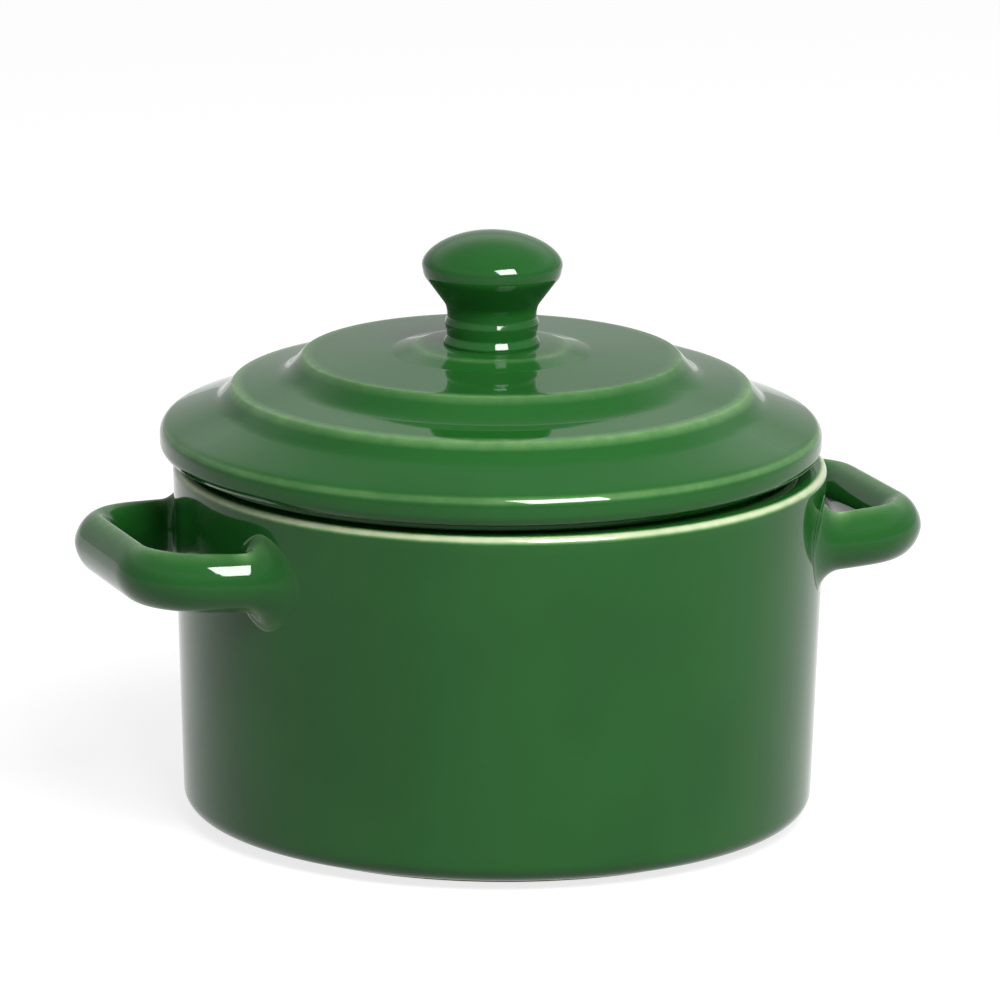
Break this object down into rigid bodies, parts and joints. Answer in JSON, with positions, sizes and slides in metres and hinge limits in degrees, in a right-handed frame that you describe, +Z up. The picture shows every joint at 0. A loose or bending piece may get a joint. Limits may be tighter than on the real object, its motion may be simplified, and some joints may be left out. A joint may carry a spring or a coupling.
{
  "type": "mini casserole with lid",
  "caption": "Small round glazed stoneware casserole with opposite loop handles and a loose stepped lid with a mushroom knob, for baking and serving one portion.",
  "frame": {"origin": "centre of the foot ring, on the surface that the pot stands on", "axes": "+Z up, X through the two handles with the left one at -X, +Y away from the side that is pictured"},
  "size_m": [0.128, 0.101, 0.0909],
  "materials": {
    "pot_glaze": "glossy translucent green glaze, cream at the rim and inside, bare at the foot ring",
    "lid_glaze": "glossy translucent green glaze, thin and pale on the tier edges, cream inside"
  },
  "bodies": {
    "pot": {"pot_body": "pot_glaze", "handle_left": "pot_glaze", "handle_right": "pot_glaze"},
    "lid": {"lid": "lid_glaze", "lid_knob": "lid_glaze"}
  },
  "joints": [
    {"name": "lid_lift", "type": "slide", "parent": "pot", "child": "lid", "axis": [0, 0, 1], "range_m": [0, 0.06]}
  ]
}
